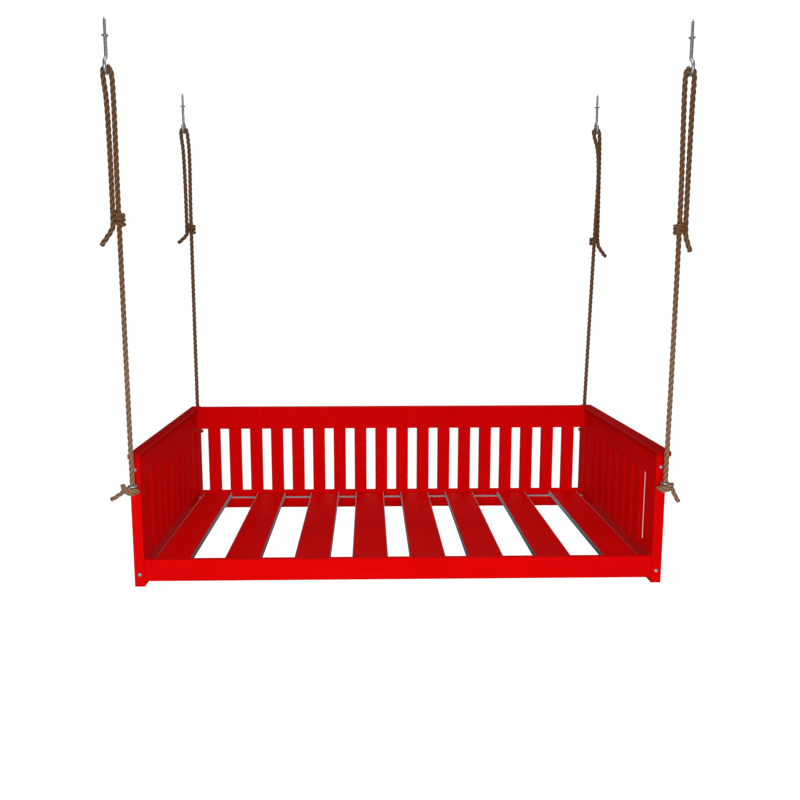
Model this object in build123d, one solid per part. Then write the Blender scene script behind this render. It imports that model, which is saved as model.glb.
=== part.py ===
from build123d import *
import os
from math import atan2, cos, degrees, radians, sin, sqrt

# Porch swing in the size of a day bed, hung on four ropes.
# X runs to the right, Y to the back, Z up. The origin lies in the ceiling plane,
# in the middle of the rectangle of the four hook shanks.

os.makedirs("parts", exist_ok=True)

IN = 25.4

# Hanging height and middle of the bed, measured from the post feet and post fronts
CEILING = 78.0 * IN
MIDDLE = 22.25 * IN

# Posts: 2x4 lumber, narrow face to the front
INSIDE = 38.1 * IN
POST_WIDE = 1.5 * IN
POST_DEEP = 3.5 * IN
POST_HIGH = 19.55 * IN
BACK_FACE = 41.0 * IN
OUTSIDE = INSIDE + POST_WIDE
POST_MID = INSIDE + POST_WIDE / 2
REAR_END = BACK_FACE + POST_DEEP

# Arms: flat caps over the side frames
ARM_THICK = 0.75 * IN
ARM_OVER_LEFT = 0.25 * IN
ARM_OVER_RIGHT = 0.7 * IN
ARM_OVER_INSIDE = 0.15 * IN
ARM_OVER_END = 0.2 * IN

# Side frames
SIDE_RAIL_HIGH = 3.5 * IN
SIDE_RAIL_BOTTOM = 0.6 * IN
SIDE_RAIL_UPPER = POST_HIGH - SIDE_RAIL_HIGH
SIDE_SLATS = 8
SIDE_SLAT_FIRST = 7.0 * IN
SIDE_SLAT_PITCH = 4.1 * IN
SIDE_FILLER_WIDE = 1.3 * IN

# Back frame
BACK_TOP_LOW = 16.3 * IN
BACK_TOP_HIGH = 20.55 * IN
BACK_TOP_THICK = 1.5 * IN
BACK_BOTTOM_LOW = 0.6 * IN
BACK_BOTTOM_HIGH = 3.9 * IN
BACK_SLATS = 18
BACK_SLAT_PITCH = 4.105 * IN

SLAT_WIDE = 2.385 * IN
SLAT_THICK = 0.75 * IN
SIDE_SLAT_RECESS = 0.05 * IN

# Seat: rail in front, cleat and ledger below, boards across
FRONT_RAIL_FACE = 0.3 * IN
FRONT_RAIL_THICK = 1.0 * IN
FRONT_RAIL_LOW = 0.7 * IN
FRONT_RAIL_TOP = 4.02 * IN
DECK_UNDER = 2.65 * IN
DECK_THICK = 0.75 * IN
CLEAT_HIGH = 1.5 * IN
CLEAT_DEEP = 1.0 * IN
LEDGER_HIGH = 2.0 * IN
LEDGER_DEEP = 0.9 * IN
BOARD_WIDE = 5.5 * IN
BOARD_FIRST = -37.2 * IN
BOARD_GAPS_LEFT = 5.11 * IN
BOARD_GAPS_MIDDLE = 3.36 * IN
BOARD_GAPS_RIGHT = 4.92 * IN
BOARD_END_GAP = 1.0

EASE = 1.6
ARM_EASE = 5.0

# Carriage bolts through the posts into the ends of the side rails
BOLT_HEAD_R = 7.5
BOLT_HEAD_HIGH = 4.2
BOLT_R = 4.0
BOLT_LONG = 140.0
BOLT_LEVELS = [1.87 * IN, 17.9 * IN]

# Screw eyes, driven into the posts
EYE_LEVEL = 15.75 * IN
EYE_OUT = 1.2 * IN
EYE_X_LEFT = -38.9 * IN
EYE_X_RIGHT = 39.1 * IN
EYE_RING_R = 14.0
EYE_WIRE_R = 4.0
EYE_DEPTH = 75.0
EYE_POINT = 8.0

# Ceiling hooks: screw hooks of round wire
HOOK_X = 39.65 * IN
HOOK_WIRE_R = 6.0
HOOK_SHANK = 69.0
HOOK_BEND_R = 8.0
HOOK_BOWL_R = 24.0
HOOK_TIP_TURN = 165.0
HOOK_DROP = sqrt((HOOK_BOWL_R + HOOK_BEND_R) ** 2 - HOOK_BEND_R**2)
HOOK_JOIN_TURN = degrees(atan2(HOOK_DROP, HOOK_BEND_R))
HOOK_COLLAR_R = 12.0
HOOK_COLLAR_HIGH = 3.0
HOOK_SCREW_R = 5.0
HOOK_SCREW_LONG = 60.0
HOOK_SCREW_POINT = 10.0

# Ropes: three-strand, two falls above the hitch
ROPE_R = 9.5
ROPE_LOOP_R = 16.8
ROPE_LOOP_FILLET = 16.5
ROPE_INTO_STOPPER = 20.0
ROPE_INTO_HITCH = 8.0
FALL_APART = 19.3

# Knots
STOPPER_BELOW = 20.0
STOPPER_HALF_Y = 22.0
STOPPER_HALF_Z = 15.5
HITCH_HALF_X = 26.5
HITCH_HALF_Y = 24.0
HITCH_SHIFT = 2.5
HITCH_ROUND = 8.0

BOWL_LEVEL = -HOOK_SHANK - HOOK_DROP
WIRE_LEVEL = BOWL_LEVEL - HOOK_BOWL_R
RING_LEVEL = EYE_LEVEL - CEILING
RING_FRONT = -EYE_OUT - MIDDLE
RING_REAR = -RING_FRONT


def save(shape, name):
    export_step(shape, "parts/" + name + ".step")


def board(x0, x1, y0, y1, z0, z1, along, ease=EASE):
    """A straight piece of lumber; y counts from the post fronts, z from the post feet."""
    middle = ((x0 + x1) / 2, (y0 + y1) / 2 - MIDDLE, (z0 + z1) / 2 - CEILING)
    piece = Pos(*middle) * Box(x1 - x0, y1 - y0, z1 - z0)
    return fillet(piece.edges().filter_by(along), ease)


def rod(start, end, radius):
    """A round rod between two points of the shared frame."""
    way = Vector(*end) - Vector(*start)
    return Plane(origin=start, z_dir=way) * Cylinder(
        radius, way.length, align=(Align.CENTER, Align.CENTER, Align.MIN)
    )


def tube(wire, radius):
    return sweep(Plane(wire @ 0, z_dir=wire % 0) * Circle(radius), path=wire)


def eye_x(sign):
    return EYE_X_LEFT if sign < 0 else EYE_X_RIGHT


def screw_eye_shank(x, end):
    """The shank of a screw eye, from its ring to its point in the post."""
    way = 1 if end == "front" else -1
    face = -MIDDLE if end == "front" else REAR_END - MIDDLE
    ring_y = RING_FRONT if end == "front" else RING_REAR
    start = (x, ring_y + way * EYE_RING_R, RING_LEVEL)
    neck = face + way * (EYE_DEPTH - EYE_POINT)
    straight = rod(start, (x, neck, RING_LEVEL), EYE_WIRE_R)
    tip = Plane(origin=(x, neck, RING_LEVEL), z_dir=(0, way, 0))
    cone = Cone(EYE_WIRE_R, 0.6, EYE_POINT, align=(Align.CENTER, Align.CENTER, Align.MIN))
    return straight + tip * cone


# Posts
for end, y0, y1 in (("front", 0, POST_DEEP), ("rear", BACK_FACE, REAR_END)):
    for side, sign in (("left", -1), ("right", 1)):
        x0, x1 = sorted((sign * INSIDE, sign * OUTSIDE))
        post = board(x0, x1, y0, y1, 0, POST_HIGH, Axis.Z)
        for level in BOLT_LEVELS:
            x = sign * POST_MID
            front = (x, y0 - 10 - MIDDLE, level - CEILING)
            back = (x, y1 + 10 - MIDDLE, level - CEILING)
            post -= rod(front, back, BOLT_R)
        post -= screw_eye_shank(eye_x(sign), end)
        save(post, end + "_post_" + side)

back_top_rail = board(
    -INSIDE, INSIDE, BACK_FACE, BACK_FACE + BACK_TOP_THICK, BACK_TOP_LOW, BACK_TOP_HIGH, Axis.X, 2.5
)

# Arms, with the outer corners rounded and the top edges eased
for side, sign in (("left", -1), ("right", 1)):
    over_side = ARM_OVER_LEFT if side == "left" else ARM_OVER_RIGHT
    x0, x1 = sorted((sign * (INSIDE - ARM_OVER_INSIDE), sign * (OUTSIDE + over_side)))
    y0 = -ARM_OVER_END - MIDDLE
    y1 = REAR_END + ARM_OVER_END - MIDDLE
    z0 = POST_HIGH - CEILING
    arm = Pos((x0 + x1) / 2, (y0 + y1) / 2, z0 + ARM_THICK / 2) * Box(x1 - x0, y1 - y0, ARM_THICK)
    outer = arm.faces().sort_by(Axis.X)[-1 if sign > 0 else 0]
    arm = fillet(outer.edges().filter_by(Axis.Z), 12.0)
    arm = fillet(arm.faces().sort_by(Axis.Z)[-1].edges(), ARM_EASE)
    save(arm - back_top_rail, "arm_" + side)

# Side frames, each with a narrow filler strip behind the front post
for side, sign in (("left", -1), ("right", 1)):
    x0, x1 = sorted((sign * INSIDE, sign * OUTSIDE))
    slat_face = INSIDE + SIDE_SLAT_RECESS
    inner, outer = sorted((sign * slat_face, sign * (slat_face + SLAT_THICK)))
    low = SIDE_RAIL_BOTTOM + SIDE_RAIL_HIGH
    filler_end = POST_DEEP + SIDE_FILLER_WIDE
    slats = [board(inner, outer, POST_DEEP, filler_end, low, SIDE_RAIL_UPPER, Axis.Z)]
    for number in range(SIDE_SLATS):
        y0 = SIDE_SLAT_FIRST + number * SIDE_SLAT_PITCH
        slats.append(board(inner, outer, y0, y0 + SLAT_WIDE, low, SIDE_RAIL_UPPER, Axis.Z))
    save(Compound(children=slats), "side_slats_" + side)
    for name, z0, level in (
        ("side_bottom_rail_", SIDE_RAIL_BOTTOM, BOLT_LEVELS[0]),
        ("side_top_rail_", SIDE_RAIL_UPPER, BOLT_LEVELS[1]),
    ):
        rail = board(x0, x1, POST_DEEP, BACK_FACE, z0, z0 + SIDE_RAIL_HIGH, Axis.Y)
        x = sign * POST_MID
        for start, stop in ((0, BOLT_LONG), (REAR_END - BOLT_LONG, REAR_END)):
            rail -= rod((x, start - MIDDLE, level - CEILING), (x, stop - MIDDLE, level - CEILING), BOLT_R)
        save(rail, name + side)

# Back frame
save(back_top_rail, "back_top_rail")
save(
    board(-INSIDE, INSIDE, BACK_FACE, BACK_FACE + SLAT_THICK, BACK_BOTTOM_LOW, BACK_BOTTOM_HIGH, Axis.X),
    "back_bottom_rail",
)
slats = []
for number in range(BACK_SLATS):
    x = (number - (BACK_SLATS - 1) / 2) * BACK_SLAT_PITCH
    x0 = x - SLAT_WIDE / 2
    x1 = x + SLAT_WIDE / 2
    slats.append(board(x0, x1, BACK_FACE, BACK_FACE + SLAT_THICK, BACK_BOTTOM_HIGH, BACK_TOP_LOW, Axis.Z))
save(Compound(children=slats), "back_slats")

# Seat
rail_back = FRONT_RAIL_FACE + FRONT_RAIL_THICK
save(
    board(-INSIDE, INSIDE, FRONT_RAIL_FACE, rail_back, FRONT_RAIL_LOW, FRONT_RAIL_TOP, Axis.X, 2.5),
    "front_rail",
)
save(
    board(-INSIDE, INSIDE, rail_back, rail_back + CLEAT_DEEP, DECK_UNDER - CLEAT_HIGH, DECK_UNDER, Axis.X),
    "front_cleat",
)
save(
    board(-INSIDE, INSIDE, BACK_FACE - LEDGER_DEEP, BACK_FACE, DECK_UNDER - LEDGER_HIGH, DECK_UNDER, Axis.X),
    "rear_ledger",
)
gaps = [BOARD_GAPS_LEFT] * 2 + [BOARD_GAPS_MIDDLE] * 3 + [BOARD_GAPS_RIGHT] * 2 + [0]
left = BOARD_FIRST
for number, gap in enumerate(gaps, start=1):
    y0 = rail_back + BOARD_END_GAP
    y1 = BACK_FACE - BOARD_END_GAP
    plank = board(left, left + BOARD_WIDE, y0, y1, DECK_UNDER, DECK_UNDER + DECK_THICK, Axis.Y)
    save(plank, "seat_board_" + str(number))
    left += BOARD_WIDE + gap

# Carriage bolts
bolts = []
for sign in (-1, 1):
    for level in BOLT_LEVELS:
        for face, way in ((0, 1), (REAR_END, -1)):
            x = sign * POST_MID
            seat = (x, face - MIDDLE, level - CEILING)
            tip = (x, face - MIDDLE + way * BOLT_LONG, level - CEILING)
            dome_r = (BOLT_HEAD_R**2 + BOLT_HEAD_HIGH**2) / (2 * BOLT_HEAD_HIGH)
            ball = Pos(0, 0, BOLT_HEAD_HIGH - dome_r) * Sphere(dome_r)
            cap = ball & Pos(0, 0, BOLT_HEAD_HIGH) * Cylinder(BOLT_HEAD_R, 2 * BOLT_HEAD_HIGH)
            head = Plane(origin=seat, z_dir=(0, -way, 0)) * cap
            bolts.append(head + rod(seat, tip, BOLT_R))
save(Compound(children=bolts), "carriage_bolts")

# Screw eyes
for end, ring_y in (("front", RING_FRONT), ("rear", RING_REAR)):
    for side, sign in (("left", -1), ("right", 1)):
        x = eye_x(sign)
        ring = Pos(x, ring_y, RING_LEVEL) * Torus(EYE_RING_R, EYE_WIRE_R)
        save(ring + screw_eye_shank(x, end), "screw_eye_" + end + "_" + side)

# Ceiling hooks
for end, ring_y in (("front", RING_FRONT), ("rear", RING_REAR)):
    for side, sign in (("left", -1), ("right", 1)):
        mirror = -1 if end == "front" else 1
        plane = Plane(origin=(sign * HOOK_X, ring_y, 0), x_dir=(0, mirror, 0), z_dir=(mirror, 0, 0))
        with BuildLine(plane) as way:
            Line((0, -HOOK_COLLAR_HIGH), (0, -HOOK_SHANK))
            CenterArc((HOOK_BEND_R, -HOOK_SHANK), HOOK_BEND_R, 180, HOOK_JOIN_TURN)
            CenterArc((0, BOWL_LEVEL), HOOK_BOWL_R, HOOK_JOIN_TURN, HOOK_TIP_TURN - HOOK_JOIN_TURN - 360)
        hook = tube(way.wire(), HOOK_WIRE_R)
        tip_angle = radians(HOOK_TIP_TURN)
        tip_y = ring_y + mirror * HOOK_BOWL_R * cos(tip_angle)
        tip = (sign * HOOK_X, tip_y, BOWL_LEVEL + HOOK_BOWL_R * sin(tip_angle))
        hook += Pos(*tip) * Sphere(HOOK_WIRE_R)
        top = (sign * HOOK_X, ring_y)
        hook += rod((*top, -HOOK_COLLAR_HIGH), (*top, 0), HOOK_COLLAR_R)
        hook += rod((*top, 0), (*top, HOOK_SCREW_LONG - HOOK_SCREW_POINT), HOOK_SCREW_R)
        point = Pos(*top, HOOK_SCREW_LONG - HOOK_SCREW_POINT / 2)
        hook += point * Cone(HOOK_SCREW_R, 0.8, HOOK_SCREW_POINT)
        save(hook, "ceiling_hook_" + end + "_" + side)


def hang(name, sign, ring_y, hitch_low, hitch_high, hitch_tail, stopper_half, stopper_out, stopper_tail):
    """One rope with its stopper knot below the eye and its hitch below the ceiling hook."""
    out = sign
    x = eye_x(sign)
    foot = (0, RING_LEVEL - ROPE_INTO_STOPPER)
    over = HOOK_X - abs(x)
    hitch_top = hitch_high - CEILING
    hitch_bottom = hitch_low - CEILING

    def fall(level):
        return (over - ROPE_LOOP_R) * (level - foot[1]) / (WIRE_LEVEL - foot[1])

    reach = ROPE_LOOP_R / cos(radians(22.5))
    turns = [radians(a) for a in (157.5, 112.5, 67.5, 22.5)]
    loop = [(over + reach * cos(a), WIRE_LEVEL + reach * sin(a)) for a in turns]
    end = (fall(hitch_top) + FALL_APART, hitch_top - ROPE_INTO_HITCH)
    corners = [foot, *loop, end]
    points = [(x + out * u, ring_y, z) for u, z in corners]
    route = FilletPolyline(*points, radius=ROPE_LOOP_FILLET)
    rope = tube(route, ROPE_R)
    save(rope, "rope_" + name)
    print(name, "rope length", round(route.length, 1), "volume ratio",
          round(rope.volume / (route.length * 3.14159265 * ROPE_R**2), 4), "radii", ROPE_LOOP_FILLET)

    knot_z = RING_LEVEL - STOPPER_BELOW
    ball = scale(
        Sphere(STOPPER_HALF_Z),
        by=(stopper_half / STOPPER_HALF_Z, STOPPER_HALF_Y / STOPPER_HALF_Z, 1),
    )
    knot = Pos(x + out * stopper_out, ring_y, knot_z) * ball
    tail_end = (sign * stopper_tail[0], ring_y, stopper_tail[1] - CEILING)
    knot += rod((x + out * stopper_out, ring_y, knot_z), tail_end, ROPE_R)
    save(knot - rope, "stopper_knot_" + name)

    middle = (hitch_top + hitch_bottom) / 2
    axis_u = fall(middle)
    hub = Pos(x + out * (axis_u + HITCH_SHIFT), ring_y, hitch_bottom) * extrude(
        Ellipse(HITCH_HALF_X, HITCH_HALF_Y), hitch_top - hitch_bottom
    )
    rims = hub.faces().sort_by(Axis.Z)
    hub = fillet(rims[0].edges() + rims[-1].edges(), HITCH_ROUND)
    tail_end = (sign * hitch_tail[0], ring_y, hitch_tail[1] - CEILING)
    tail_start = (x + out * (fall(hitch_bottom) + FALL_APART), ring_y, hitch_bottom + 10)
    hub += rod(tail_start, tail_end, ROPE_R)
    save(hub - rope, "hitch_knot_" + name)


hang(
    "front_left", -1, RING_FRONT, 52.6 * IN, 55.0 * IN, (41.6 * IN, 50.2 * IN),
    30.0, 7.0, (41.95 * IN, 13.95 * IN),
)
hang(
    "front_right", 1, RING_FRONT, 51.45 * IN, 53.4 * IN, (40.95 * IN, 49.3 * IN),
    27.0, 0.0, (41.0 * IN, 13.04 * IN),
)
hang(
    "rear_left", -1, RING_REAR, 53.9 * IN, 56.2 * IN, (41.5 * IN, 52.35 * IN),
    28.0, 4.0, (41.4 * IN, 13.3 * IN),
)
hang(
    "rear_right", 1, RING_REAR, 51.7 * IN, 53.65 * IN, (42.4 * IN, 49.6 * IN),
    28.0, 4.0, (41.4 * IN, 13.3 * IN),
)
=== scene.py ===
from math import cos, pi, radians, sin, sqrt

import bpy
from mathutils import Matrix, Vector, noise


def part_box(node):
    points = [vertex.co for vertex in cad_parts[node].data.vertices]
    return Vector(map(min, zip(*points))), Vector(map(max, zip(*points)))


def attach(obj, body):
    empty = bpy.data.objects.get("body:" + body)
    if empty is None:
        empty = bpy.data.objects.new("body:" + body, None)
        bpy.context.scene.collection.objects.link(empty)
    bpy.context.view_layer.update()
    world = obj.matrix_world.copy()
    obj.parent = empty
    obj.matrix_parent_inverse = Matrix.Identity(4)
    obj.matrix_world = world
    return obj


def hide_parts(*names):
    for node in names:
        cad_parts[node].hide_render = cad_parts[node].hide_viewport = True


# Porch swing: painted day bed on four laid ropes. Metres, in the frame of the CAD model:
# the origin is in the ceiling plane, X to the right, Y to the back, Z up.

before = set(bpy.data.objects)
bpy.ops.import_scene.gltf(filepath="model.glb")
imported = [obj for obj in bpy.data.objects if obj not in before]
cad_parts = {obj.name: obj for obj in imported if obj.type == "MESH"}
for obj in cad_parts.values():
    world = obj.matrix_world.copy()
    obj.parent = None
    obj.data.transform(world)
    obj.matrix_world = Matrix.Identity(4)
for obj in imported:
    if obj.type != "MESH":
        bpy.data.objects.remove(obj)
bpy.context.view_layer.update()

IN = 0.0254
CEILING = 78.0 * IN
MIDDLE = 22.25 * IN
EYE_X_LEFT = -38.9 * IN
EYE_X_RIGHT = 39.1 * IN
HOOK_X = 39.65 * IN
RING_Y = 23.45 * IN
RING_LEVEL = 15.75 * IN - CEILING

ROPE_R = 0.0095
ROPE_LAY = 0.070
LOOP_R = 0.0168
HOOK_SHANK = 0.069
HOOK_BOWL_R = 0.024
HOOK_BEND_R = 0.008
FALL_APART = 0.0193
INTO_STOPPER = 0.020
INTO_HITCH = 0.008
NEAR_HOOK = 0.114

FLOOR_BELOW_FEET = 18.0 * IN


# ---------------------------------------------------------------- camera

def make_camera():
    """A camera at the photograph's viewpoint: 37 mm lens, a little left of the middle, above the arms."""
    place = Vector((-4.486 * IN, -118.255 * IN - MIDDLE, 46.037 * IN - CEILING))
    yaw = radians(1.076)
    pitch = radians(-8.607)
    roll = radians(-0.078)
    forward = Vector((sin(yaw) * cos(pitch), cos(yaw) * cos(pitch), sin(pitch)))
    right = Vector((cos(yaw), -sin(yaw), 0.0))
    up = right.cross(forward)
    right, up = (
        cos(roll) * right + sin(roll) * up,
        cos(roll) * up - sin(roll) * right,
    )
    data = bpy.data.cameras.new("camera")
    data.sensor_width = 36.0
    data.lens = 37.01
    data.shift_x = 0.01996
    data.clip_end = 60.0
    camera = bpy.data.objects.new("camera", data)
    axes = Matrix((right, up, -forward)).transposed()
    camera.matrix_world = Matrix.Translation(place) @ axes.to_4x4()
    bpy.context.scene.collection.objects.link(camera)
    bpy.context.scene.camera = camera


# ---------------------------------------------------------------- laid rope

def spline_points(points):
    """The points of one smooth NURBS spline through the route."""
    curve = bpy.data.curves.new("route", "CURVE")
    curve.dimensions = "3D"
    spline = curve.splines.new("NURBS")
    spline.points.add(len(points) - 1)
    for target, point in zip(spline.points, points):
        target.co = (*point, 1.0)
    spline.order_u = 3
    spline.use_endpoint_u = True
    spline.resolution_u = 16
    holder = bpy.data.objects.new("route", curve)
    bpy.context.scene.collection.objects.link(holder)
    mesh = bpy.data.meshes.new_from_object(holder)
    line = [mesh.vertices[0].co.copy()]
    for vertex in mesh.vertices:
        if (vertex.co - line[-1]).length > 1e-6:
            line.append(vertex.co.copy())
    bpy.data.objects.remove(holder)
    bpy.data.curves.remove(curve)
    bpy.data.meshes.remove(mesh)
    return line


def even(line, step):
    """The same line with its points a step apart."""
    marks = [0.0]
    for a, b in zip(line, line[1:]):
        marks.append(marks[-1] + (b - a).length)
    count = max(2, round(marks[-1] / step))
    made = []
    at = 0
    for i in range(count + 1):
        goal = marks[-1] * i / count
        while at < len(marks) - 2 and marks[at + 1] < goal:
            at += 1
        span = marks[at + 1] - marks[at]
        share = 0.0 if span < 1e-9 else (goal - marks[at]) / span
        made.append(line[at].lerp(line[at + 1], min(1.0, max(0.0, share))))
    return made, marks[-1]


def lobe(angle, radius):
    """Distance from the middle of a three-strand rope to its surface, and how deep that is in a groove."""
    strand = 0.545 * radius
    offset = radius - strand
    third = 2 * pi / 3
    local = (angle + third / 2) % third - third / 2
    reach = offset * cos(local) + sqrt(max(strand**2 - (offset * sin(local)) ** 2, 0.0))
    low = offset * cos(third / 2) + sqrt(strand**2 - (offset * sin(third / 2)) ** 2)
    return reach, (reach - low) / (radius - low)


def laid_rope(name, route, radius=ROPE_R, start_turn=0.0, step=0.002, around=36):
    """A laid rope along a route: one closed skin with three strands and their yarns."""
    line, length = even(spline_points(route), step)
    count = len(line)
    tangents = []
    for i in range(count):
        a = line[max(0, i - 1)]
        b = line[min(count - 1, i + 1)]
        tangents.append((b - a).normalized())
    side = Vector((0.0, 1.0, 0.0))
    side = (side - tangents[0] * side.dot(tangents[0])).normalized()
    vertices = []
    grooves = []
    turns = []
    for i in range(count):
        side = (side - tangents[i] * side.dot(tangents[i])).normalized()
        other = tangents[i].cross(side)
        run = length * i / (count - 1)
        turn = start_turn + 2 * pi * run / ROPE_LAY
        turns.append(turn)
        taper = 1.0
        if length - run < 0.003:
            taper = sqrt(max(0.04, 1 - ((0.003 - (length - run)) / 0.0031) ** 2)) * 0.25 + 0.75
        for j in range(around):
            local = 2 * pi * j / around
            reach, groove = lobe(local, radius)
            angle = local + turn
            yarn = 0.00016 * sin(19 * angle + 3 * sin(2 * pi * run / 0.031))
            fluff = 0.00022 * noise.noise(Vector((run * 240, 3 * cos(angle), 3 * sin(angle))))
            reach = (reach + (yarn + fluff) * (0.3 + 0.7 * groove)) * taper
            vertices.append(line[i] + side * (reach * cos(angle)) + other * (reach * sin(angle)))
            # The last two rings get a low groove value, so the painted groove shade also darkens the
            # rope's cut end.
            grooves.append(groove * (0.12 if i > count - 3 else 1.0))
    faces = []
    uvs = []
    for i in range(count - 1):
        run0 = length * i / (count - 1)
        run1 = length * (i + 1) / (count - 1)
        for j in range(around):
            k = (j + 1) % around
            faces.append((i * around + j, i * around + k, (i + 1) * around + k, (i + 1) * around + j))
            v0 = j / around + turns[i] / (2 * pi)
            v1 = j / around + turns[i + 1] / (2 * pi)
            uvs += [(run0, v0), (run0, v0 + 1 / around), (run1, v1 + 1 / around), (run1, v1)]
    for base, order in ((0, -1), ((count - 1) * around, 1)):
        faces.append(tuple(base + j for j in range(around))[::order])
        run = 0.0 if base == 0 else length
        ring = [(run, j / around) for j in range(around)][::order]
        uvs += ring
    mesh = bpy.data.meshes.new(name)
    mesh.from_pydata(vertices, [], faces)
    layer = mesh.uv_layers.new(name="lay")
    for loop, uv in zip(layer.data, uvs):
        loop.uv = uv
    groove_painted_shade = mesh.attributes.new("groove", "FLOAT", "POINT")
    groove_painted_shade.data.foreach_set("value", grooves)
    mesh.polygons.foreach_set("use_smooth", [True] * len(mesh.polygons))
    mesh.update()
    made = bpy.data.objects.new(name, mesh)
    bpy.context.scene.collection.objects.link(made)
    return made, line, length


def make_rope(corner, hitch_low, hitch_high, hitch_tail, stopper_tail, knot, aside, falls, phase):
    """One rope from its stopper knot under the eye over the ceiling hook to its hitch.

    Heights and tail ends are in inches from the post feet and the middle of the swing.
    knot is the stopper knot's shift outward, its spread, the height of its outer lobe, and how
    far its front stands off the eye.
    aside is how far the rope stands outward of the straight line at the hitch and near the hook.
    falls is how far apart the two falls are near the hook, and the turn of their pair about Z.
    """
    end, side = corner.split("_")
    out = -1 if side == "left" else 1
    x = EYE_X_LEFT if side == "left" else EYE_X_RIGHT
    over = HOOK_X - abs(x)
    y = -RING_Y if end == "front" else RING_Y
    drop = sqrt((HOOK_BOWL_R + HOOK_BEND_R) ** 2 - HOOK_BEND_R**2)
    wire = -HOOK_SHANK - drop - HOOK_BOWL_R
    foot = RING_LEVEL - INTO_STOPPER
    hitch_top = hitch_high * IN - CEILING
    hitch_bottom = hitch_low * IN - CEILING
    near = wire - NEAR_HOOK
    apart, turned = falls
    turned = radians(turned)

    def fall(level):
        straight = (over - LOOP_R) * (level - foot) / (wire - foot)
        return straight + aside[0] * min(1.0, (level - foot) / (hitch_top - foot))

    corner_r = LOOP_R / cos(radians(22.5))
    loop = [
        (over + corner_r * cos(radians(a)), 0.0, wire + corner_r * sin(radians(a)))
        for a in (157.5, 112.5, 67.5, 22.5)
    ]
    at_hitch = FALL_APART * Vector((cos(0.3 * turned), sin(0.3 * turned)))
    stop = (fall(hitch_top) + at_hitch.x, at_hitch.y, hitch_top - INTO_HITCH)
    middle = over + aside[1]
    half = 0.5 * apart * Vector((cos(turned), sin(turned)))
    lead = (middle - half.x, -half.y, near)
    follow = (middle + half.x, half.y, near)
    bend = (fall(hitch_top), 0.0, hitch_top)
    route = [(0.0, 0.0, foot), bend, lead, *loop, follow, stop]
    route = [(x + out * u, y + v, z) for u, v, z in route]
    rope, line, length = laid_rope("rope_" + corner + "_laid", route, start_turn=phase)

    wraps = []
    turns = 3.0
    steps = 40
    top = hitch_top - 0.008
    bottom = hitch_bottom + 0.009
    for i in range(steps + 1):
        share = i / steps
        angle = -2 * pi * turns * share + 0.9
        gap = min(1.0, max(0.0, (share - 0.52) / 0.22))
        spread = (share + 0.15 * gap * gap * (3 - 2 * gap)) / 1.15
        level = top + (bottom - top) * spread + 0.0022 * sin(angle + 0.6)
        reach = 0.0146 + (0.0030 if cos(angle) < -0.3 else 0.0)
        wraps.append((fall(level) + reach * cos(angle), reach * sin(angle), level))
    path = [(x + out * u, y + v, w) for u, v, w in wraps]
    hitch = laid_rope("hitch_" + corner + "_wraps", path, 0.0080, phase)[0]

    tail = (hitch_tail[0] * IN - abs(x), hitch_tail[1] * IN - CEILING)
    beside = fall(hitch_bottom) + 0.0185
    height = hitch_top - hitch_bottom
    path = [
        (stop[0], stop[1], stop[2] + 0.004),
        (stop[0], stop[1] - 0.001, stop[2] - 0.2 * height),
        (beside, -0.006, hitch_bottom + 0.42 * height),
        (beside, -0.007, hitch_bottom + 0.10 * height),
        (beside + 0.10 * (tail[0] - beside), -0.006, hitch_bottom - 0.10 * (hitch_bottom - tail[1])),
        (beside + 0.52 * (tail[0] - beside), -0.004, hitch_bottom - 0.56 * (hitch_bottom - tail[1])),
        (tail[0], 0.0, tail[1]),
    ]
    path = [(x + out * u, y + v, w) for u, v, w in path]
    end_tail = laid_rope("hitch_" + corner + "_tail", path, ROPE_R, phase)[0]

    tail = (stopper_tail[0] * IN - abs(x), stopper_tail[1] * IN - CEILING - RING_LEVEL)
    shift, spread, lift, front = knot
    loops = [
        (-0.014, 0.006, -0.0220), (-0.0235, -0.004, -0.0165), (-0.013, -0.0185, -0.0130),
        (0.004, -0.0210, -0.0130), (0.023, -0.0165 - front, -0.0060 - 0.5 * front),
        (0.034, -0.009 - 1.4 * front, lift),
        (0.044, 0.001, lift - 0.0045), (0.038, 0.010, -0.010), (0.024, 0.012, -0.018),
        (0.006, 0.011, -0.0235), (-0.008, 0.001, -0.0270), (0.002, -0.012, -0.0255),
        (0.018, -0.0165, -0.0200), (0.034, -0.013, -0.0140),
    ]
    loops = [(shift + spread * u, v, w) for u, v, w in loops]
    loops = [(0.0, 0.0, -0.0155), (-0.001, 0.003, -0.0215)] + loops
    leave = shift + spread * 0.042
    loops.append((leave, -0.007, -0.0210))
    loops.append((leave + 0.35 * (tail[0] - leave), -0.008, -0.026 + 0.35 * (tail[1] + 0.026)))
    loops.append((tail[0], -0.014, tail[1]))
    path = [(x + out * u, y + v, RING_LEVEL + w) for u, v, w in loops]
    stopper = laid_rope("stopper_" + corner + "_laid", path, 0.0087, phase)[0]

    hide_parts("rope_" + corner)
    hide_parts("hitch_knot_" + corner)
    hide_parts("hitch_knot_" + corner)
    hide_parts("stopper_knot_" + corner)
    for piece in (rope, hitch, end_tail, stopper):
        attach(piece, "rope_" + corner + "_body")
    return [rope, hitch, end_tail, stopper]


# ---------------------------------------------------------------- materials

def new_material(name):
    material = bpy.data.materials.new(name)
    material.use_nodes = True
    tree = material.node_tree
    return material, tree, tree.nodes["Principled BSDF"]


def link(tree, a, b):
    tree.links.new(a, b)


def add(tree, kind, **values):
    node = tree.nodes.new(kind)
    for key, value in values.items():
        if key in node.inputs:
            node.inputs[key].default_value = value
        else:
            setattr(node, key, value)
    return node


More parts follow.
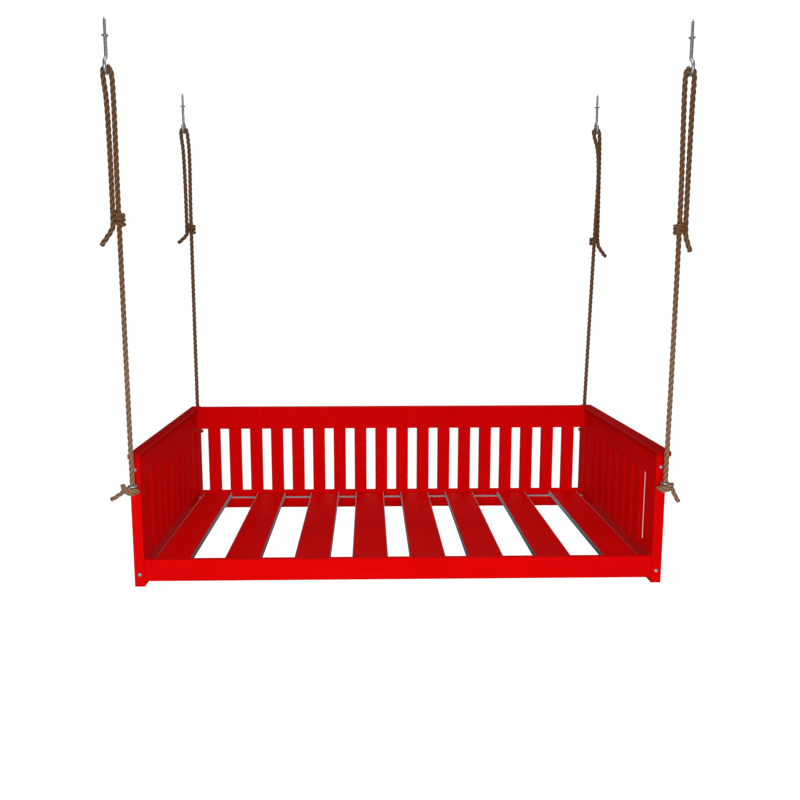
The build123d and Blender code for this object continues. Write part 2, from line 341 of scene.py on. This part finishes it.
def grain_noise(tree, scale, stretch, seed, detail=6.0, rough=0.6):
    """Noise in the shared frame, stretched by the three factors in stretch."""
    where = add(tree, "ShaderNodeTexCoord")
    placed = add(tree, "ShaderNodeMapping")
    placed.inputs["Location"].default_value = (seed * 3.7, seed * 1.3, seed * 2.9)
    placed.inputs["Scale"].default_value = stretch
    cloud = add(tree, "ShaderNodeTexNoise")
    cloud.inputs["Scale"].default_value = scale
    cloud.inputs["Detail"].default_value = detail
    cloud.inputs["Roughness"].default_value = rough
    link(tree, where.outputs["Object"], placed.inputs["Vector"])
    link(tree, placed.outputs["Vector"], cloud.inputs["Vector"])
    return cloud.outputs["Fac"]


def ramp(tree, source, stops):
    made = add(tree, "ShaderNodeValToRGB")
    elements = made.color_ramp.elements
    while len(elements) < len(stops):
        elements.new(0.5)
    for element, (place, colour) in zip(elements, stops):
        element.position = place
        element.color = (*colour, 1.0)
    link(tree, source, made.inputs["Fac"])
    return made.outputs["Color"]


def paint(name, along, seed, edge=None, painted_shade=1.0):
    """Satin exterior paint over boards whose grain runs along the given axis.

    edge is (axis, centre, reach): beyond that reach from the centre the board's edge is grey primer.
    """
    material, tree, shader = new_material(name)
    stretch = [1.0, 1.0, 1.0]
    stretch["XYZ".index(along)] = 0.045
    grain = grain_noise(tree, 95.0, stretch, seed, 8.0, 0.62)
    broad = grain_noise(tree, 3.0, (1.0, 1.0, 1.0), seed + 5, 3.0, 0.5)
    peel = grain_noise(tree, 420.0, (1.0, 1.0, 1.0), seed + 9, 2.0, 0.5)
    mixed = add(tree, "ShaderNodeMix", data_type="FLOAT")
    mixed.inputs[0].default_value = 0.45
    link(tree, grain, mixed.inputs[2])
    link(tree, broad, mixed.inputs[3])
    reds = [
        (0.30, (0.570, 0.0010, 0.0014)),
        (0.50, (0.640, 0.0014, 0.0018)),
        (0.72, (0.690, 0.0022, 0.0026)),
    ]
    # The factor scales the reds: below 1 it gives a darker copy of the same paint, painted shade for faces
    # that get less light.
    reds = [(place, tuple(painted_shade * c for c in colour)) for place, colour in reds]
    colour = ramp(tree, mixed.outputs[0], reds)
    if edge:
        where = add(tree, "ShaderNodeTexCoord")
        split = add(tree, "ShaderNodeSeparateXYZ")
        link(tree, where.outputs["Object"], split.inputs["Vector"])
        off = add(tree, "ShaderNodeMath", operation="SUBTRACT")
        off.inputs[1].default_value = edge[1]
        far = add(tree, "ShaderNodeMath", operation="ABSOLUTE")
        mask = add(tree, "ShaderNodeMapRange")
        mask.inputs["From Min"].default_value = edge[2] - 0.0005
        mask.inputs["From Max"].default_value = edge[2]
        link(tree, split.outputs[edge[0]], off.inputs[0])
        link(tree, off.outputs[0], far.inputs[0])
        link(tree, far.outputs[0], mask.inputs["Value"])
        # Painted light: the grey edge is graded by Y, lighter towards the back and darker towards the
        # front, with a little of the grain mixed in.
        painted_light_front_to_back = add(tree, "ShaderNodeMapRange")
        painted_light_front_to_back.inputs["From Min"].default_value = -0.52
        painted_light_front_to_back.inputs["From Max"].default_value = 0.50
        link(tree, split.outputs["Y"], painted_light_front_to_back.inputs["Value"])
        grain_and_painted_light = add(tree, "ShaderNodeMix", data_type="FLOAT")
        grain_and_painted_light.inputs[0].default_value = 0.18
        link(tree, painted_light_front_to_back.outputs["Result"], grain_and_painted_light.inputs[2])
        link(tree, grain, grain_and_painted_light.inputs[3])
        grey = ramp(
            tree,
            grain_and_painted_light.outputs[0],
            [(0.08, (0.060, 0.115, 0.125)), (0.55, (0.17, 0.27, 0.29)), (0.92, (0.34, 0.48, 0.51))],
        )
        both = add(tree, "ShaderNodeMix", data_type="RGBA")
        link(tree, mask.outputs["Result"], both.inputs[0])
        link(tree, colour, both.inputs[6])
        link(tree, grey, both.inputs[7])
        colour = both.outputs[2]
    link(tree, colour, shader.inputs["Base Color"])
    rough = add(tree, "ShaderNodeMapRange")
    rough.inputs["From Min"].default_value = 0.3
    rough.inputs["From Max"].default_value = 0.7
    rough.inputs["To Min"].default_value = 0.42
    rough.inputs["To Max"].default_value = 0.60
    link(tree, grain, rough.inputs["Value"])
    link(tree, rough.outputs["Result"], shader.inputs["Roughness"])
    shader.inputs["Specular IOR Level"].default_value = 0.008
    shader.inputs["Specular Tint"].default_value = (1.0, 0.16, 0.15, 1.0)
    low = add(tree, "ShaderNodeBump", Strength=0.30, Distance=0.0006)
    high = add(tree, "ShaderNodeBump", Strength=0.12, Distance=0.0002)
    link(tree, grain, low.inputs["Height"])
    link(tree, peel, high.inputs["Height"])
    link(tree, low.outputs["Normal"], high.inputs["Normal"])
    link(tree, high.outputs["Normal"], shader.inputs["Normal"])
    return material


def zinc(name, seed):
    """Zinc plating: a little mottled, with fine scratches."""
    material, tree, shader = new_material(name)
    mottle = grain_noise(tree, 260.0, (1.0, 1.0, 1.0), seed, 4.0, 0.6)
    colour = ramp(
        tree,
        mottle,
        [(0.3, (0.26, 0.29, 0.33)), (0.55, (0.40, 0.45, 0.50)), (0.75, (0.54, 0.59, 0.64))],
    )
    link(tree, colour, shader.inputs["Base Color"])
    shader.inputs["Metallic"].default_value = 0.9
    rough = add(tree, "ShaderNodeMapRange")
    rough.inputs["To Min"].default_value = 0.32
    rough.inputs["To Max"].default_value = 0.58
    link(tree, mottle, rough.inputs["Value"])
    link(tree, rough.outputs["Result"], shader.inputs["Roughness"])
    scratch = grain_noise(tree, 900.0, (1.0, 0.15, 1.0), seed + 3, 3.0, 0.6)
    bump = add(tree, "ShaderNodeBump", Strength=0.15, Distance=0.0002)
    link(tree, scratch, bump.inputs["Height"])
    link(tree, bump.outputs["Normal"], shader.inputs["Normal"])
    return material


def manila(name, painted_shade, upper_painted_shade):
    """Laid natural fibre, matt: yarns along the rope, with painted shade in the grooves.

    The first factor multiplies its colour below the hitches, the second near the hooks: painted light and
    shade, darker towards the hooks and on the rear ropes, where less light falls.
    """
    material, tree, shader = new_material(name)
    where = add(tree, "ShaderNodeUVMap", uv_map="lay")
    placed = add(tree, "ShaderNodeMapping")
    placed.inputs["Scale"].default_value = (60.0, 22.0, 1.0)
    fibre = add(tree, "ShaderNodeTexNoise")
    fibre.inputs["Scale"].default_value = 1.6
    fibre.inputs["Detail"].default_value = 8.0
    fibre.inputs["Roughness"].default_value = 0.7
    link(tree, where.outputs["UV"], placed.inputs["Vector"])
    link(tree, placed.outputs["Vector"], fibre.inputs["Vector"])
    colour = ramp(
        tree,
        fibre.outputs["Fac"],
        [(0.25, (0.145, 0.074, 0.036)), (0.50, (0.265, 0.145, 0.080)), (0.78, (0.40, 0.24, 0.140))],
    )
    # Painted shade: the fibre colour is darkened to about a quarter at the bottom of the grooves between
    # the strands.
    groove = add(tree, "ShaderNodeAttribute", attribute_name="groove")
    groove_painted_shade = ramp(
        tree,
        groove.outputs["Fac"],
        [(0.0, (0.24, 0.19, 0.15)), (0.45, (0.75, 0.72, 0.68)), (0.9, (1.0, 1.0, 1.0))],
    )
    product = add(tree, "ShaderNodeMix", data_type="RGBA", blend_type="MULTIPLY")
    product.inputs[0].default_value = 1.0
    link(tree, colour, product.inputs[6])
    link(tree, groove_painted_shade, product.inputs[7])
    height = add(tree, "ShaderNodeTexCoord")
    split = add(tree, "ShaderNodeSeparateXYZ")
    link(tree, height.outputs["Object"], split.inputs["Vector"])
    # Painted shade: the colour goes from the lower factor to the upper one as the rope rises from 1.15 m
    # to 0.65 m below the ceiling.
    painted_shade_height = add(tree, "ShaderNodeMapRange")
    painted_shade_height.inputs["From Min"].default_value = -1.15
    painted_shade_height.inputs["From Max"].default_value = -0.65
    link(tree, split.outputs["Z"], painted_shade_height.inputs["Value"])
    painted_shade_ramp = ramp(tree, painted_shade_height.outputs["Result"], [(0.0, painted_shade), (1.0, upper_painted_shade)])
    painted_dimming = add(tree, "ShaderNodeMix", data_type="RGBA", blend_type="MULTIPLY")
    painted_dimming.inputs[0].default_value = 1.0
    link(tree, product.outputs[2], painted_dimming.inputs[6])
    link(tree, painted_shade_ramp, painted_dimming.inputs[7])
    link(tree, painted_dimming.outputs[2], shader.inputs["Base Color"])
    shader.inputs["Roughness"].default_value = 0.85
    shader.inputs["Specular IOR Level"].default_value = 0.2
    rough = add(tree, "ShaderNodeMapRange")
    rough.inputs["To Min"].default_value = 0.72
    rough.inputs["To Max"].default_value = 0.98
    link(tree, fibre.outputs["Fac"], rough.inputs["Value"])
    link(tree, rough.outputs["Result"], shader.inputs["Roughness"])
    bump = add(tree, "ShaderNodeBump", Strength=0.7, Distance=0.0006)
    link(tree, fibre.outputs["Fac"], bump.inputs["Height"])
    link(tree, bump.outputs["Normal"], shader.inputs["Normal"])
    return material


def dress(node, material):
    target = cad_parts[node]
    target.data.materials.clear()
    target.data.materials.append(material)


# ---------------------------------------------------------------- surroundings

def make_floor():
    """A plain pale floor as far below the bed as a porch floor would be."""
    size = 14.0
    level = -CEILING - FLOOR_BELOW_FEET
    mesh = bpy.data.meshes.new("floor")
    mesh.from_pydata(
        [(-size, -size, level), (size, -size, level), (size, size, level), (-size, size, level)],
        [],
        [(0, 1, 2, 3)],
    )
    floor = bpy.data.objects.new("floor", mesh)
    bpy.context.scene.collection.objects.link(floor)
    material, tree, shader = new_material("floor_pale")
    shader.inputs["Base Color"].default_value = (0.25, 0.25, 0.25, 1.0)
    shader.inputs["Roughness"].default_value = 0.9
    shader.inputs["Emission Color"].default_value = (1.0, 1.0, 1.0, 1.0)
    sight = add(tree, "ShaderNodeLightPath")
    glow = add(tree, "ShaderNodeMapRange")
    glow.inputs["To Min"].default_value = 0.28
    glow.inputs["To Max"].default_value = 1.0
    link(tree, sight.outputs["Is Camera Ray"], glow.inputs["Value"])
    link(tree, glow.outputs["Result"], shader.inputs["Emission Strength"])
    mesh.materials.append(material)


def add_light(name, place, target, size, power, colour=(1.0, 1.0, 1.0)):
    data = bpy.data.lights.new(name, "AREA")
    data.shape = "RECTANGLE"
    data.size = size[0]
    data.size_y = size[1]
    data.energy = power
    data.color = colour
    lamp = bpy.data.objects.new(name, data)
    lamp.location = place
    lamp.visible_camera = False
    lamp.rotation_euler = (Vector(target) - Vector(place)).to_track_quat("-Z", "Y").to_euler()
    bpy.context.scene.collection.objects.link(lamp)


def make_lights():
    add_light("key", (-0.1, -3.5, -1.25), (0.0, 0.0, -1.75), (2.8, 1.3), 98.0)
    add_light("top", (0.0, -0.4, 1.6), (0.0, 0.0, -1.8), (3.0, 2.2), 52.0)
    add_light("rear_fill", (0.3, 4.0, 0.4), (0.0, 0.0, -1.6), (3.0, 1.6), 36.0)
    world = bpy.data.worlds.new("studio")
    world.use_nodes = True
    tree = world.node_tree
    back = tree.nodes["Background"]
    sight = add(tree, "ShaderNodeLightPath")
    shown = add(tree, "ShaderNodeMapRange")
    shown.inputs["To Min"].default_value = 0.08
    shown.inputs["To Max"].default_value = 1.05
    link(tree, sight.outputs["Is Camera Ray"], shown.inputs["Value"])
    back.inputs["Color"].default_value = (1.0, 1.0, 1.0, 1.0)
    link(tree, shown.outputs["Result"], back.inputs["Strength"])
    bpy.context.scene.world = world
    bpy.context.scene.view_settings.view_transform = "Standard"


# ---------------------------------------------------------------- the swing

make_camera()

front_ropes = []
rear_ropes = []
front_ropes += make_rope(
    "front_left",
    hitch_low=52.6,
    hitch_high=55.0,
    hitch_tail=(41.6, 50.2),
    stopper_tail=(41.95, 13.9),
    knot=(0.0, 0.88, 0.0055, 0.0),
    aside=(0.0015, -0.009),
    falls=(0.0205, 0.0),
    phase=0.3,
)
front_ropes += make_rope(
    "front_right",
    hitch_low=51.45,
    hitch_high=53.4,
    hitch_tail=(40.95, 49.3),
    stopper_tail=(41.0, 13.04),
    knot=(-0.008, 0.78, -0.001, 0.0048),
    aside=(0.0085, -0.0021),
    falls=(0.028, 0.0),
    phase=1.9,
)
rear_ropes += make_rope(
    "rear_left",
    hitch_low=53.9,
    hitch_high=56.2,
    hitch_tail=(41.5, 52.35),
    stopper_tail=(41.4, 13.3),
    knot=(0.0, 0.9, 0.0, 0.0),
    aside=(0.0, -0.012),
    falls=(0.026, 0.0),
    phase=3.1,
)
rear_ropes += make_rope(
    "rear_right",
    hitch_low=51.7,
    hitch_high=53.65,
    hitch_tail=(42.4, 49.6),
    stopper_tail=(41.4, 13.3),
    knot=(0.0, 0.9, 0.0, 0.0),
    aside=(0.0255, 0.022),
    falls=(0.021, 78.0),
    phase=4.4,
)

# The rear ropes get a darker copy of the fibre colour, painted shade; the front ropes are a little
# brighter below the hitches, painted light.
for pieces, fibre in (
    (front_ropes, manila("manila_front_painted_light_and_shade", (1.06, 1.05, 1.06), (0.66, 0.56, 0.40))),
    (rear_ropes, manila("manila_rear_painted_shade", (0.74, 0.64, 0.50), (0.60, 0.50, 0.36))),
):
    for piece in pieces:
        piece.data.materials.append(fibre)

upright = paint("paint_upright", "Z", 1.0)
across = paint("paint_across", "X", 2.0)
deep = paint("paint_deep", "Y", 3.0)
# The arms get a darker copy of the red, 0.72 of it: painted shade for their top faces, which get less
# light.
arm_paint_painted_shade = paint("paint_arms_painted_shade", "Y", 5.0, painted_shade=0.72)
steel = zinc("zinc_plated", 6.0)

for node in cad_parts:
    if node.startswith("seat_board"):
        left, right = (corner.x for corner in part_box(node))
        middle = (left + right) / 2
        number = float(node.split("_")[-1])
        edge = ("X", middle, (right - left) / 2 - 0.0026)
        dress(node, paint("paint_" + node, "Y", 10 + number, edge=edge))
    elif node == "rear_ledger":
        under, top = (corner.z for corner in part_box(node))
        dress(node, paint("paint_ledger", "X", 7.0, edge=("Z", under, top - under - 0.0012)))
    elif node.startswith("arm"):
        dress(node, arm_paint_painted_shade)
    elif "post" in node or "slats" in node:
        dress(node, upright)
    elif node.startswith("side_"):
        dress(node, deep)
    elif node.startswith(("back_", "front_rail", "front_cleat")):
        dress(node, across)
    elif node.startswith(("carriage", "screw_eye", "ceiling")):
        dress(node, steel)

make_floor()
make_lights()
